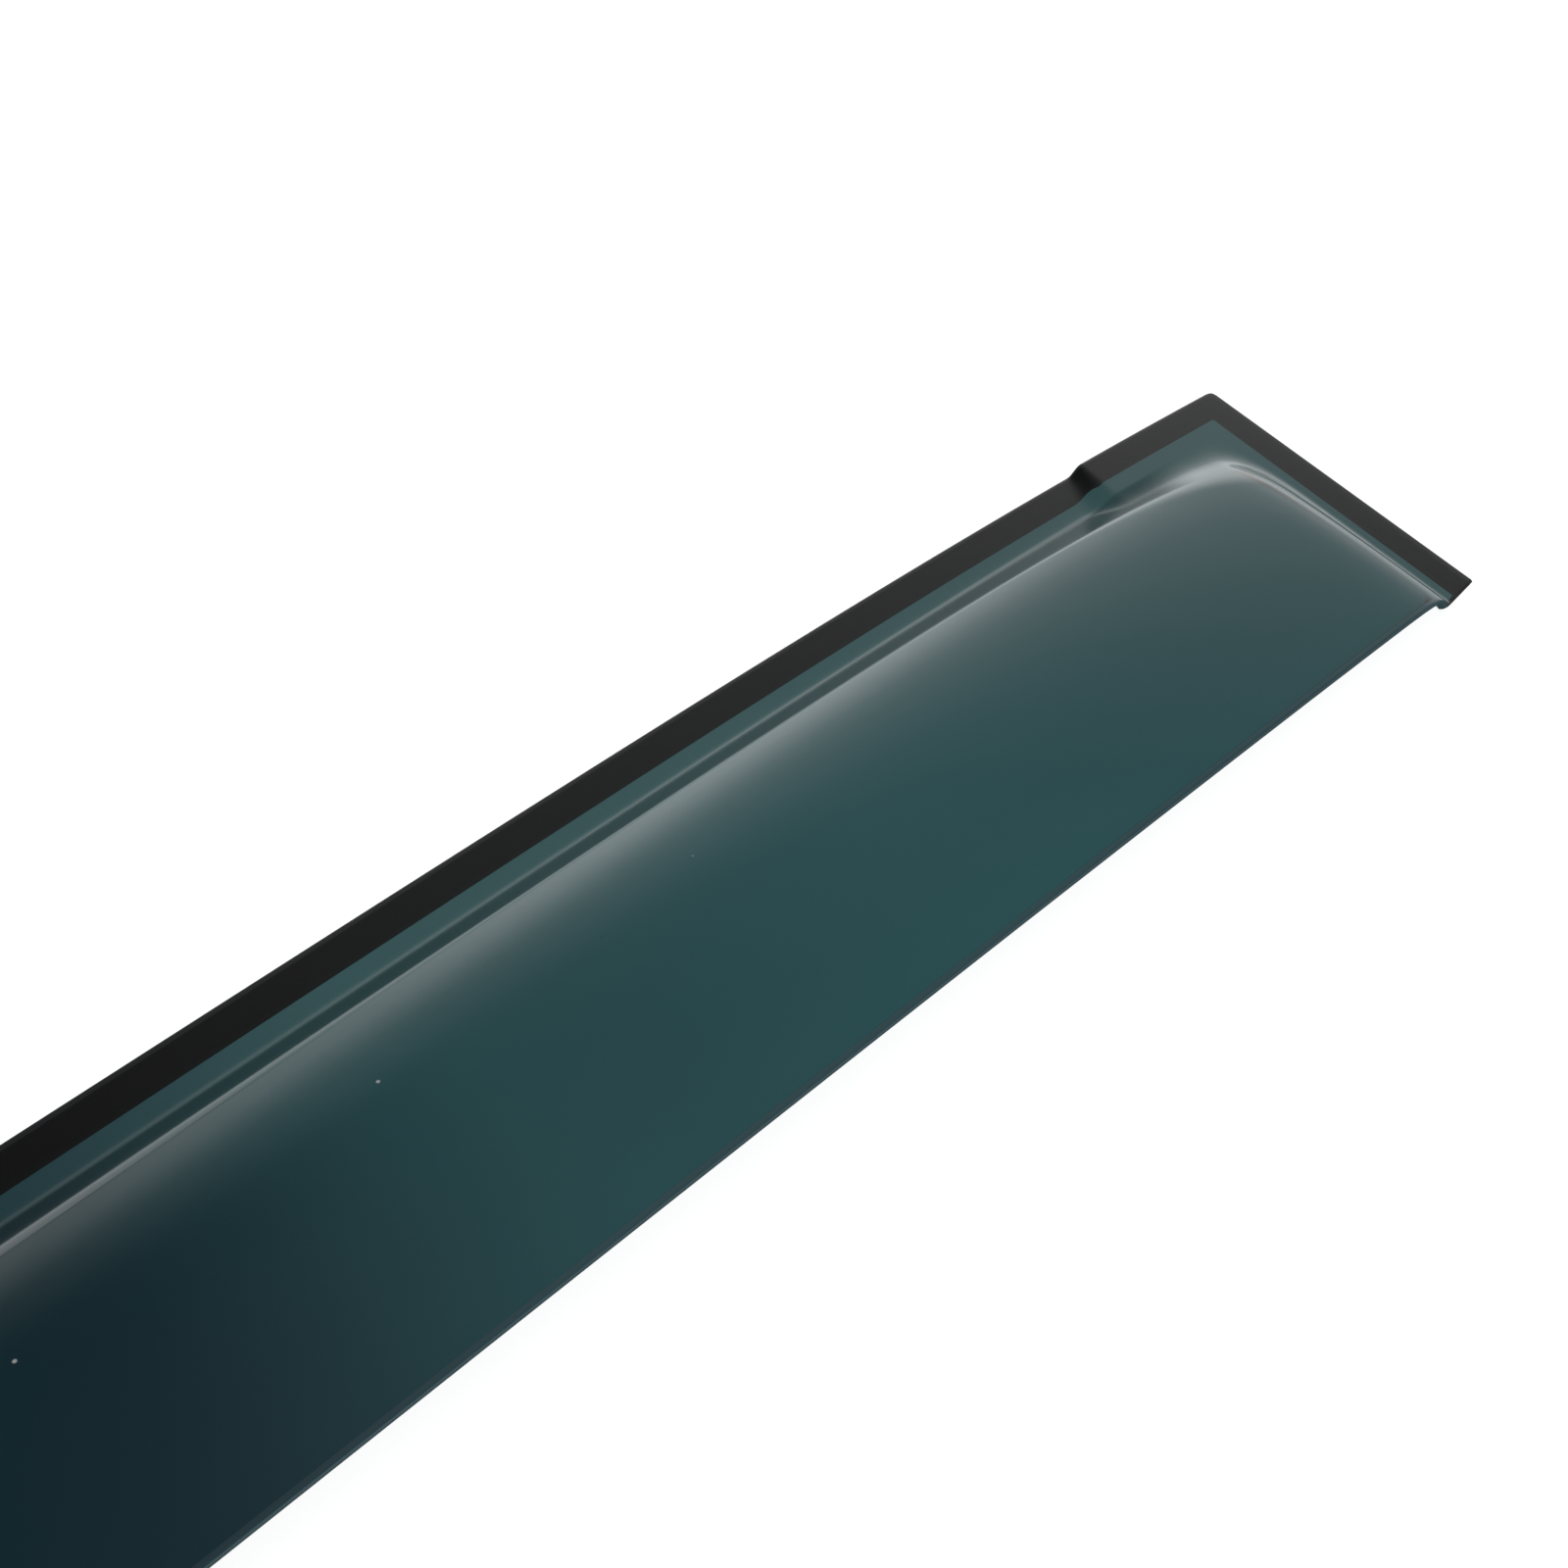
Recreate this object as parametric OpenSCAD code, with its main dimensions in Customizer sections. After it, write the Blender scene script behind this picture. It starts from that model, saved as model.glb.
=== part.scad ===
// Window rain deflector: a thin see-through visor for the rear part of a car's side window.
// It lies with its taped underside down: X runs along the window toward the stepped end,
// Y from the free lower edge to the flange along the window frame, and Z away from the glass.
// Millimetres. The origin is the middle of the footprint, at the underside of the tape.

/* [Outline] */
// Length of the visor along its upper edge
visor_len = 620; // [400:10:900]
// Width from the upper edge to the free lower edge, at the stepped end
visor_w = 73.8; // [50:0.2:120]
// How far the lower edge drops away from the upper one by the far end
lower_drop = 26; // [0:1:60]
// Bow of the free lower edge at the far end
lower_bow = 6; // [0:0.5:20]
// Drop of the upper edge at the far end, if its bow had no rounding
upper_drop = 46.5; // [0:0.5:90]
// Length over which the upper edge turns into its bow, from the stepped end
bow_len = 150; // [60:5:300]
// How far each end leans inward from its upper to its lower corner
end_rake = 9; // [0:0.5:25]
// Radius of the two outer corners at the upper edge
corner_r = 2; // [1:0.5:8]

/* [Sheet] */
// Thickness of the acrylic sheet
sheet_t = 2.6; // [1.5:0.1:4]
// Rounding of the polished lower edge
edge_r = 0.9; // [0.3:0.1:1.2]

/* [Flange] */
// Width of the upper flange, from its edge to the foot of the riser
flange_w = 11.3; // [9:0.1:25]
// Width of the flange at each end
end_flange_w = 8.2; // [7:0.1:25]
// How much the lower end of the end flange is cut back across its width
flange_cut = 1; // [0:0.2:8]
// Distance from the end over which that cut runs out
cut_len = 11.5; // [5:0.5:30]

/* [Step in the flange] */
// Height by which the flange steps up near its end
step_h = 1.9; // [0.5:0.1:5]
// Distance from the end to the foot of the step, at the outer edge
step_at = 47.5; // [25:0.5:120]
// Run of the step's ramp at the outer edge
step_run = 3.3; // [1:0.1:10]
// How much wider the ramp is at the inner edge of the flange
step_splay = 5.7; // [0:0.1:15]

/* [Raised body] */
// Height of the steep riser beside the flange
riser_h = 4.45; // [1:0.05:6]
// Run of the riser, from its foot to the shoulder
riser_run = 5.5; // [3:0.1:15]
// Softness of the shoulder on top of the riser
shoulder = 0.2; // [0.05:0.01:1.5]
// Height of the lower edge over the flange, at the stepped end
body_h = 6.2; // [4:0.1:20]
// How much higher the body stands toward the far end
body_gain = 11; // [0:0.5:25]
// Length over which the body gains that height
gain_len = 350; // [100:10:900]
// Distance over which the crown behind the shoulder flattens out
crown_run = 12.5; // [5:0.5:40]
// Run of the steep wall beside the end flange, at the stepped end
wall_run = 5.8; // [3:0.1:20]
// The same at the far end, where the body stands higher
far_wall_run = 14; // [3:0.5:30]
// Distance over which the body flattens out behind that wall
end_run = 3.9; // [2:0.1:40]
// The same at the far end
far_end_run = 12; // [5:0.5:60]
// Widening of the riser at the corners, where it softens into a pillow
corner_soft = 7; // [0:0.5:30]
// Distance from an end wall over which that widening fades
soft_run = 30; // [5:0.5:60]
// Radius of the fillet where the riser leaves the flange
fillet = 0.45; // [0.2:0.05:4]
// How much wider that fillet is along the raised end of the flange
corner_fillet = 1.4; // [0:0.1:4]
// Distance down the end wall over which the wider fillet fades
fillet_run = 6; // [2:0.5:20]

/* [Tape] */
// Width of the foam tape along the upper edge
tape_w = 5.5; // [4:0.1:12]
// Width of the foam tape at each end
end_tape_w = 4.8; // [3:0.1:12]
// Thickness of the foam tape
tape_t = 1; // [0.5:0.1:3]

/* [Resolution] */
// Longest spacing of the sections along the visor
section_gap = 12; // [6:1:40]
// Spacing of the sections at the ends and at the step
fine_gap = 1.8; // [0.8:0.1:4]
// Spacing of the sections and rows where the surface turns up from a flange
foot_gap = 0.4; // [0.2:0.05:1]

/* [Hidden] */
// Share of the body's height that is reached at the top of an end wall.
end_wall_share = 0.81;
// Softness of the shoulder on top of an end wall, as a share of the height.
end_wall_soft_share = 0.25;
// Steepest start of the crown behind the shoulder.
crown_slope = 0.8;
// Steepness of an end wall where its surface is continued below the flange.
dive = 1.2;
flange_z = tape_t + sheet_t;
// Reach of the fine sections at the stepped end, past the step.
near_reach = step_at + step_splay + step_run + riser_run;
// Stretch near each end in which the sections lean like the end.
lean_reach = near_reach;

// Outline in plan. A place is given by c, the distance along the upper edge from the
// stepped end, and d, the distance from the upper edge toward the lower one.

// Y of the upper edge: level at the stepped end, then bent into an even slope.
function upper_y(c) = -upper_drop / visor_len * bow_len * ln((exp(c / bow_len) + exp(-c / bow_len)) / 2);

// Y of the free lower edge, without the cut of the flanges.
function lower_y(c) = -visor_w - lower_drop * c / visor_len - lower_bow * pow(c / visor_len, 2);

// How much the flange's lower end is cut back at this distance from its end.
function cut_back(c) =
    flange_cut * max(0, 1 - c / cut_len) + flange_cut * max(0, 1 - (visor_len - c) / cut_len);

// Width of the visor on this section.
function width_at(c) = upper_y(c) - lower_y(c) - cut_back(c);

// Lean of the sections: along each end near it, turning evenly between.
function lean_at(c) =
    -end_rake / visor_w * (1 - 2 * min(1, max(0, (c - lean_reach) / (visor_len - 2 * lean_reach))));

// Draws a square corner of one radius' side in to a quarter round.
function round_in(p) =
    let (q = [for (v = p) (corner_r - v) / corner_r])
    (p[0] < corner_r && p[1] < corner_r)
        ? [for (i = [0, 1]) corner_r * (1 - q[i] * sqrt(1 - pow(q[1 - i], 2) / 2))]
        : p;

// The corners at both ends of the upper edge, rounded.
function rounded(c, d) =
    (c < visor_len / 2)
        ? round_in([c, d])
        : let (p = round_in([visor_len - c, d])) [visor_len - p[0], p[1]];

// Plan position of a place on the visor.
function plan(c, d) = let (p = rounded(c, d)) [-p[0] + lean_at(p[0]) * p[1], upper_y(p[0]) - p[1]];

// Height of the sheet's upper face.

function clamp01(t) = min(1, max(0, t));
function ease(t) = let (u = clamp01(t)) u * u * (3 - 2 * u);

// The flange: level, with the ramp that lifts its last stretch.
function flange_rise(c, d) =
    let (
        foot = step_at + step_splay * d / flange_w,
        run = step_run + step_splay * d / flange_w
    )
    step_h * ease((foot - c) / run);

// The lower of two values, with the corner between them rounded off.
function soft_min(p, q, r) = min(p, q) - pow(max(r - abs(p - q), 0), 2) / (4 * r);

// A rise that settles at 1, continued straight below zero.
function settle(u) = (u < 0) ? u : 1 - exp(-u);

// Widening of the riser, which fades away from both end walls.
function fading(e, run) = exp(-max(0, e) / run);
function soft_at(c) =
    corner_soft * (fading(c - end_flange_w, soft_run) + fading(visor_len - c - end_flange_w, soft_run));

// Height of the lower edge over the flange.
function full_height(c) = body_h + body_gain * (1 - exp(-c / gain_len));

// Section of the body: a straight riser, and behind its shoulder a crown that flattens out.
function across(c, a) =
    let (
        run = riser_run + soft_at(c),
        gain = full_height(c) - riser_h,
        flat = max(crown_run, gain / crown_slope) + soft_at(c),
        reach = width_at(c) - flange_w,
        crown = riser_h + gain * settle((a - run) / flat) / settle((reach - run) / flat)
    )
    soft_min(riser_h * a / run, crown, shoulder);

// Share of that height which is reached at a distance from an end flange.
function end_share(e, wall_run, flat_run) =
    soft_min(
        end_wall_share * e / wall_run,
        end_wall_share + (1 - end_wall_share) * settle((e - wall_run) / flat_run),
        end_wall_soft_share
    );

// The body: its section times those shares. Outside its foot it goes on down below the flange.
function body_rise(c, d) =
    let (e = c - end_flange_w, f = visor_len - c - end_flange_w)
    across(c, d - flange_w) * end_share(max(0, e), wall_run, end_run)
        * end_share(max(0, f), far_wall_run, far_end_run) - dive * (max(0, -e) + max(0, -f));

// The higher of flange and body, with a fillet along the line where they meet.
function fillet_at(c, d) =
    fillet + corner_fillet * flange_rise(c, flange_w) / step_h * fading(d - flange_w, fillet_run);
function blend(p, q, r) = max(p, q) + pow(max(r - abs(p - q), 0), 2) / (4 * r);
function rise(c, d) = blend(flange_rise(c, d), body_rise(c, d), fillet_at(c, d));

// How far each face is drawn in by the rounding of the lower edge.
function edge_in(q) = edge_r - sqrt(max(0, edge_r * edge_r - pow(max(0, edge_r - q), 2)));

// Sections and rows of the surface.

// Evenly spaced values from one end to the other, with neither end.
function inner_steps(from, to, gap) =
    let (n = ceil(abs(to - from) / gap)) [for (i = [1:1:n - 1]) from + (to - from) * i / n];
function span(from, to, gap) = concat([from], inner_steps(from, to, gap));

// Places round a foot, where the surface turns up from a flange.
function foot_steps(from, side) = [for (k = [-2, -1, 0, 1, 1.8]) from + side * foot_gap * k];

soft_end = end_flange_w + wall_run + end_run * 2;
far_foot = visor_len - end_flange_w;
far_soft = far_foot - far_wall_run - far_end_run;

sections = concat(
    span(0, corner_r, corner_r / 3),
    [corner_r, end_tape_w],
    foot_steps(end_flange_w, 1),
    inner_steps(end_flange_w + foot_gap * 1.8, soft_end, fine_gap * 0.7),
    span(soft_end, step_at - fine_gap, fine_gap * 2),
    span(step_at - fine_gap, near_reach, fine_gap),
    span(near_reach, far_soft, section_gap),
    span(far_soft, far_foot - foot_gap * 1.8, fine_gap * 1.3),
    [for (k = [1.8, 1, 0, -1, -2]) far_foot - foot_gap * k],
    [visor_len - end_tape_w],
    span(visor_len - corner_r, visor_len, corner_r / 3),
    [visor_len]
);

// Distances of the first rows from the upper edge, down to the edge of the tape.
flange_rows = concat(span(0, corner_r, corner_r / 3), [corner_r, tape_w]);
// Shares of the riser's run, and of the crown's, at which their rows lie.
riser_row_shares = [0.25, 0.42, 0.58, 0.75, 0.9];
crown_row_shares = [0.07, 0.17, 0.3, 0.46, 0.68];
// Shares of the rest of the width at which the further rows lie.
far_row_shares = [0, 0.2, 0.42, 0.66, 0.88];
// Distances of the last rows from the lower edge, for its rounding.
edge_row_shares = [1, 0.35, 0];

// Distances of all rows from the upper edge: they follow the foot and the shoulder of the riser.
function rows_at(c) =
    let (
        w = width_at(c),
        run = riser_run + soft_at(c),
        top = flange_w + run,
        crown_end = top + crown_run * 1.6
    )
    concat(
        flange_rows,
        foot_steps(flange_w, 1),
        [for (s = riser_row_shares) flange_w + run * s],
        [for (k = [-1, 1]) top + foot_gap * k],
        [for (s = crown_row_shares) top + (crown_end - top) * s],
        [for (s = far_row_shares) crown_end + (w - edge_r - crown_end) * s],
        [for (s = edge_row_shares) w - edge_r * s]
    );

function upper_point(c, d) =
    let (p = plan(c, d)) [p[0], p[1], flange_z + rise(c, d) - edge_in(width_at(c) - d)];
// The under face has the same form, so that steep parts are drawn thinner, as when a sheet is formed.
function under_point(c, d) =
    let (p = plan(c, d)) [p[0], p[1], tape_t + rise(c, d) + edge_in(width_at(c) - d)];

// Middle of the footprint, which is brought to the origin.
foot_y = [for (c = sections) each [plan(c, 0)[1], plan(c, width_at(c))[1]]];
foot_x = [for (c = sections) each [plan(c, 0)[0], plan(c, width_at(c))[0]]];
middle = [(max(foot_x) + min(foot_x)) / 2, (max(foot_y) + min(foot_y)) / 2];

module to_middle() {
    translate([-middle[0], -middle[1], 0]) children();
}

// A closed skin through sections of equally many points.
module loft(rings) {
    n = len(rings[0]);
    last = len(rings) - 1;
    points = [for (ring = rings) each ring];
    sides = [
        for (i = [0:1:last - 1]) for (j = [0:1:n - 1])
            let (a = i * n + j, b = i * n + (j + 1) % n) each [[a, a + n, b + n], [a, b + n, b]]
    ];
    half = n / 2;
    near_cap = [
        for (j = [0:1:half - 2]) each [[j, j + 1, n - 2 - j], [j, n - 2 - j, n - 1 - j]]
    ];
    far_cap = [for (t = near_cap) [for (k = [2, 1, 0]) t[k] + last * n]];
    polyhedron(points = points, faces = concat(sides, near_cap, far_cap), convexity = 6);
}

// The tinted acrylic visor: flange, step, riser, crown and rounded lower edge in one sheet.
module deflector_shell() {
    rings = [
        for (c = sections)
            let (rows = rows_at(c), m = len(rows))
            concat(
                [for (j = [0:1:m - 1]) upper_point(c, rows[j])],
                [for (j = [m - 1:-1:0]) under_point(c, rows[j])]
            )
    ];
    color([0.13, 0.24, 0.25, 0.75]) to_middle() loft(rings);
}

// Foam tape under the flange, pressed on so that it follows the step.
function tape_ring(c) =
    let (rows = flange_rows, m = len(rows))
    concat(
        [for (j = [0:1:m - 1]) let (p = plan(c, rows[j])) [p[0], p[1], tape_t + flange_rise(c, rows[j])]],
        [for (j = [m - 1:-1:0]) let (p = plan(c, rows[j])) [p[0], p[1], flange_rise(c, rows[j])]]
    );

module top_tape() {
    color([0.06, 0.06, 0.07]) to_middle() loft([for (c = sections) tape_ring(c)]);
}

// Outline of an end tape, from the top tape down to the flange's lower end.
function end_strip(cs) =
    concat(
        [for (c = cs) plan(c, tape_w)],
        [for (i = [len(cs) - 1:-1:0]) plan(cs[i], width_at(cs[i]))]
    );

module right_end_tape() {
    color([0.06, 0.06, 0.07]) to_middle() translate([0, 0, step_h])
        linear_extrude(tape_t) polygon(end_strip([for (c = sections) if (c <= end_tape_w) c]));
}

module left_end_tape() {
    color([0.06, 0.06, 0.07]) to_middle()
        linear_extrude(tape_t) polygon(end_strip([for (c = sections) if (c >= visor_len - end_tape_w) c]));
}

deflector_shell();
top_tape();
right_end_tape();
left_end_tape();
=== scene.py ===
import math

import bpy
import numpy as np
from bpy.props import FloatProperty, FloatVectorProperty, PointerProperty
from mathutils import Matrix


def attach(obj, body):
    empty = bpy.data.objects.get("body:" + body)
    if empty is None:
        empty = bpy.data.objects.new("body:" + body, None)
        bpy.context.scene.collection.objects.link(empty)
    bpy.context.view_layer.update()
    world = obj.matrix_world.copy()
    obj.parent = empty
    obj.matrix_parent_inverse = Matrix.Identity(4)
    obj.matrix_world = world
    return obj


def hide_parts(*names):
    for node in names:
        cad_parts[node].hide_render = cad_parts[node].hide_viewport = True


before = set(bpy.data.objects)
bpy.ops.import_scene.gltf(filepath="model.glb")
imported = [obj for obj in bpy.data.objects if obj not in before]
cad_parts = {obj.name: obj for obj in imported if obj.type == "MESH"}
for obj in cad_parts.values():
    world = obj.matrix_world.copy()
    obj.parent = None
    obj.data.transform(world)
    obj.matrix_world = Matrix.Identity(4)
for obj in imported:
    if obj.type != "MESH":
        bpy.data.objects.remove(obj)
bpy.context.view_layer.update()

bl_info = {
    "name": "Window Rain Deflector",
    "version": (1, 0, 0),
    "blender": (4, 5, 0),
    "location": "View3D > Sidebar > Deflector",
    "description": "A tinted acrylic window rain deflector with foam tapes, on a white floor",
    "category": "Object",
}


def length(name, description, default):
    return FloatProperty(
        name=name, description=description, default=default, min=0.0, unit="LENGTH", precision=5
    )


def share(name, description, default):
    return FloatProperty(
        name=name, description=description, default=default, min=0.0, max=1.0, subtype="FACTOR"
    )


def plain(name, description, default):
    return FloatProperty(name=name, description=description, default=default)


def colour(name, description, default):
    return FloatVectorProperty(
        name=name,
        description=description,
        default=default,
        size=3,
        min=0.0,
        max=4.0,
        subtype="COLOR",
    )


class VisorForm(bpy.types.PropertyGroup):
    """Sizes of the formed sheet and of the tape below it."""

    visor_len: length("Length", "Length of the visor along its upper edge", 0.61996)
    visor_w: length("Width", "Width at the stepped end", 0.07378)
    lower_drop: length("Lower drop", "How far the lower edge drops away by the far end", 0.026)
    lower_bow: length("Lower bow", "Bow of the lower edge at the far end", 0.006)
    upper_drop: length("Upper drop", "Drop of the upper edge, if its bow had no rounding", 0.0465)
    bow_len: length("Bow length", "Length over which the upper edge turns into its bow", 0.15)
    end_rake: length("End rake", "How far each end leans inward", 0.009)
    corner_r: length("Corner radius", "Radius of the two corners of the upper edge", 0.002)
    sheet_t: length("Sheet", "Thickness of the acrylic sheet", 0.0026)
    edge_r: length("Edge radius", "Rounding of the polished lower edge", 0.0004)
    cut_r: length("Cut radius", "Rounding of the trimmed edges of the flanges", 0.0004)
    bevel_h: length(
        "Bevel", "How much of the thickness the bevel under the lower edge takes", 0.0016
    )
    bevel_run: length("Bevel run", "Run of that bevel along the body", 0.0018)
    end_bevel_run: length("End bevel run", "Run of that bevel at the end flanges", 0.0009)
    flange_w: length("Flange", "Width of the upper flange", 0.0113)
    end_flange_w: length("End flange", "Width of the flange at each end", 0.0082)
    flange_cut: length("Flange cut", "Cut at the lower end of each end flange", 0.001)
    cut_len: length("Cut length", "Distance from the end over which that cut runs out", 0.0115)
    step_h: length("Step height", "Height by which the flange steps up near its end", 0.0019)
    step_at: length("Step place", "Distance from the end to the foot of the step", 0.0475)
    step_run: length("Step run", "Run of the step's ramp at the outer edge", 0.0033)
    step_splay: length(
        "Step splay", "How much wider the ramp is at the flange's inner edge", 0.0057
    )
    riser_h: length("Riser", "Height of the steep riser beside the flange", 0.00445)
    riser_run: length("Riser run", "Run of the riser, from its foot to the shoulder", 0.0055)
    shoulder: length("Shoulder", "Softness of the shoulder on top of the riser", 0.0002)
    body_h: length("Body height", "Rise of the lower edge at the stepped end", 0.0062)
    body_gain: length("Body gain", "How much higher the body stands toward the far end", 0.01097)
    gain_len: length("Gain length", "Length over which the body gains that height", 0.35)
    crown_run: length("Crown", "Distance over which the crown flattens out", 0.0125)
    wall_run: length("End wall", "Run of the steep wall at the stepped end", 0.0058)
    far_wall_run: length("Far end wall", "Run of the steep wall at the far end", 0.014)
    end_run: length(
        "End crown", "Distance over which the body flattens out at the stepped end", 0.0039
    )
    far_end_run: length("Far end crown", "The same at the far end", 0.012)
    corner_soft: length(
        "Corner softness", "Widening of the riser where it turns the corners", 0.007
    )
    soft_run: length("Softness run", "Distance over which that widening fades", 0.03)
    corner_shoulder: length(
        "Corner shoulder", "How much softer the shoulder is by an end wall", 0.0032
    )
    corner_reach: length("Corner reach", "Distance over which that softness fades", 0.015)
    fillet: length("Fillet", "Radius where the riser leaves the flange", 0.0009)
    corner_fillet: length("Corner fillet", "How much wider it is on the raised flange", 0.001)
    fillet_run: length("Fillet run", "Distance over which the wider fillet fades", 0.006)
    wall_share: share("Wall share", "Share of the height reached at the top of an end wall", 0.81)
    wall_soft: share("Wall softness", "Softness of the shoulder on top of an end wall", 0.25)
    corner_wall_soft: share("Corner wall", "How much softer an end wall's top is by the riser", 0.5)
    crown_slope: plain("Crown slope", "Steepest start of the crown behind the shoulder", 0.8)
    dive: plain("Dive", "Steepness of an end wall continued below the flange", 1.2)
    tape_w: length("Tape width", "Width of the foam tape along the upper edge", 0.0055)
    end_tape_w: length("End tape width", "Width of the foam tape at each end", 0.0048)
    tape_t: length("Tape thickness", "Thickness of the foam tape", 0.001)
    tape_pull: length("Tape waist", "How far the foam's cut sides pull in", 0.00012)
    tape_gap: length("Tape joint", "Fine gap between a tape and what it touches", 0.00004)


class AcrylicLook(bpy.types.PropertyGroup):
    """Finish of the tinted acrylic."""

    # Painted shade: the body's tint colours and distances below grade the tint darkest at the
    # middle and lighter toward the stepped end, standing in for the shaded floor seen through the
    # sheet.
    tint: colour(
        "Tint", "Colour that each face lets through, where it is clearest", (0.1155, 0.258, 0.27)
    )
    middle_tint: colour("Middle tint", "The same nearer the middle", (0.106, 0.2365, 0.249))
    tint_in_painted_shade: colour(
        "Deep tint", "The same at the middle, where it is densest", (0.0605, 0.137, 0.158)
    )
    end_tint: colour("End tint", "The same at the stepped end", (0.104, 0.235, 0.247))
    painted_shade_full_at: length("Deep from", "Distance from the middle up to which the tint is dense", 0.013)
    middle_at: length("Middle at", "Distance from the middle to the middle tint", 0.089)
    clear_at: length("Clear at", "Distance from the middle to the clearest tint", 0.16)
    end_at: length("End at", "Distance from the middle to the end tint", 0.265)
    roughness: share("Roughness", "Roughness of the polished faces", 0.05)
    smudge: share("Smudges", "How much rougher the hazy patches are", 0.05)
    # The flange tints grade the same painted shade, darkest at the middle.
    flange_tint: colour(
        "Flange tint", "Colour that each face of the flanges lets through", (0.17, 0.282, 0.29)
    )
    end_flange: colour("End flange tint", "The same at the stepped end", (0.156, 0.262, 0.27))
    flange_in_painted_shade: colour("Deep flange tint", "The same at the middle", (0.105, 0.19, 0.207))
    edge_tone: colour("Edge", "Colour of the lower edge, seen from outside", (0.07, 0.117, 0.13))
    edge_glow: colour(
        "Edge glow", "Light that the lower edge lets into the sheet", (0.19, 0.2, 0.22)
    )
    cut_tone: colour(
        "Cut", "Colour of the flanges' cut edges, seen from outside", (0.05, 0.052, 0.056)
    )
    cut_glow: colour("Cut glow", "Light that those edges let into the sheet", (0.07, 0.045, 0.045))
    speck: colour("Specks", "Colour of the specks of dust", (0.5, 0.5, 0.48))
    dust_scale: plain("Dust scale", "Cells per metre, each with room for one speck", 60.0)
    speck_size: plain("Speck size", "Radius of a speck, as a share of its cell", 0.022)
    speck_core: plain("Speck core", "Radius within which a speck is densest", 0.012)
    speck_cover: share("Speck cover", "How much a speck covers at its core", 0.5)
    cloud_scale: plain("Cloud scale", "Scale of the patches that shift the tint", 14.0)
    drift: length("Drift", "How far those patches shift the tint's grading", 0.004)
    haze_scale: plain("Haze scale", "Scale of the hazy patches", 55.0)
    wave_scale: plain("Wave scale", "Scale of the fine waves in the polished skin", 90.0)
    wave: share("Waves", "Strength of those waves", 0.12)
    wave_depth: length("Wave depth", "Depth of those waves", 0.0001)
    ior: plain("Refraction", "Refractive index of acrylic", 1.49)
    # Painted shade: the steep riser's gloss and tint are both darkened by these factors.
    riser_gloss_painted_shade: share("Riser gloss", "Share of the gloss that the steep riser keeps", 0.42)
    riser_painted_shade: plain("Riser tint", "Tint of the steep riser, as a factor", 0.84)
    riser_haze: share("Riser haze", "Share of the flanges' roughness that the steep riser has", 0.5)
    # Painted shade: this shift eases the graded shade beside the riser.
    crest_shift: length(
        "Crest shift", "How much nearer the middle the tint clears by the riser", 0.02
    )
    # Painted light: the tint is lightened toward the lower edge.
    lip_painted_light: plain("Lip", "How much clearer the tint is at the lower edge, as a factor", 1.04)
    flange_rough: share(
        "Flange roughness", "Roughness of the flanges, which the forming dulls", 0.34
    )


class FoamLook(bpy.types.PropertyGroup):
    """Finish of the foam tape."""

    skin: colour("Skin", "Colour of the foam's skin", (0.03, 0.026, 0.031))
    cell: colour("Cells", "Colour of the foam's open cells", (0.01, 0.0085, 0.0105))
    cell_size: length("Cell size", "Size of the foam's cells", 0.00035)


class StudioSetup(bpy.types.PropertyGroup):
    """Camera, floor and light."""

    eye: FloatVectorProperty(
        name="Camera place",
        description="Where the camera stands",
        default=(-0.01215, -0.12994, 0.23383),
        size=3,
        subtype="TRANSLATION",
        unit="LENGTH",
    )
    lens: plain("Lens", "Focal length in millimetres on a 36 mm sensor", 44.1855)
    floor_size: length("Floor", "Length of the floor's side", 8.0)
    floor_glow: share("Floor glow", "Share of the floor's white that shadows leave", 0.94)
    floor_level: plain("Floor level", "The floor's glow and its lit share together", 1.12)
    key_power: plain("Key light", "Power of the soft overhead lamp in watts", 30.0)
    key_size: length("Key size", "Width of that lamp", 1.4)
    key_place: FloatVectorProperty(
        name="Key place",
        description="Where that lamp hangs",
        default=(-0.75, -0.15, 1.6),
        size=3,
        subtype="TRANSLATION",
        unit="LENGTH",
    )
    key_turn: FloatVectorProperty(
        name="Key turn",
        description="How that lamp is turned",
        default=(math.radians(-5), math.radians(-25), 0.0),
        size=3,
        subtype="EULER",
        unit="ROTATION",
    )
    sky_power: plain("Sky", "Strength of the broad low light", 2.35)


def settings():
    return bpy.context.scene.rain_deflector


# The form of the visor. A place on it is c, the distance along the upper edge from the stepped end,
# and d, the distance from the upper edge toward the lower one. Both may be whole arrays.


def clamp(t):
    return np.clip(t, 0.0, 1.0)


def ease(t):
    """Smooth step: 3 t squared less 2 t cubed, between 0 and 1."""
    t = clamp(t)
    return t * t * (3 - 2 * t)


def upper_y(f, c):
    """Upper edge: minus drop / length x bow x log cosh(c / bow), level at first and then an even
    slope."""
    return -f.upper_drop / f.visor_len * f.bow_len * np.log(np.cosh(c / f.bow_len))


def visor_width(f, c):
    """Width on a section: the lower edge is a parabola, less the cut at the ends of the flanges."""
    along = c / f.visor_len
    lower_y = -f.visor_w - f.lower_drop * along - f.lower_bow * along**2
    near = np.clip(1 - c / f.cut_len, 0, None)
    far = np.clip(1 - (f.visor_len - c) / f.cut_len, 0, None)
    return upper_y(f, c) - lower_y - f.flange_cut * (near + far)


def rounded_corner(f, c, d):
    """Draws the square of side r at an upper corner in to a quarter round: with u and v the
    distances from its inner sides as shares of r, each becomes u x root(1 - v squared / 2)."""
    r = f.corner_r
    for flip in (False, True):
        e = f.visor_len - c if flip else c
        u, v = clamp((r - e) / r), clamp((r - d) / r)
        inside = (e < r) & (d < r)
        new_e = np.where(inside, r * (1 - u * np.sqrt(1 - v * v / 2)), e)
        d = np.where(inside, r * (1 - v * np.sqrt(1 - u * u / 2)), d)
        c = f.visor_len - new_e if flip else new_e
    return c, d


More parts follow.
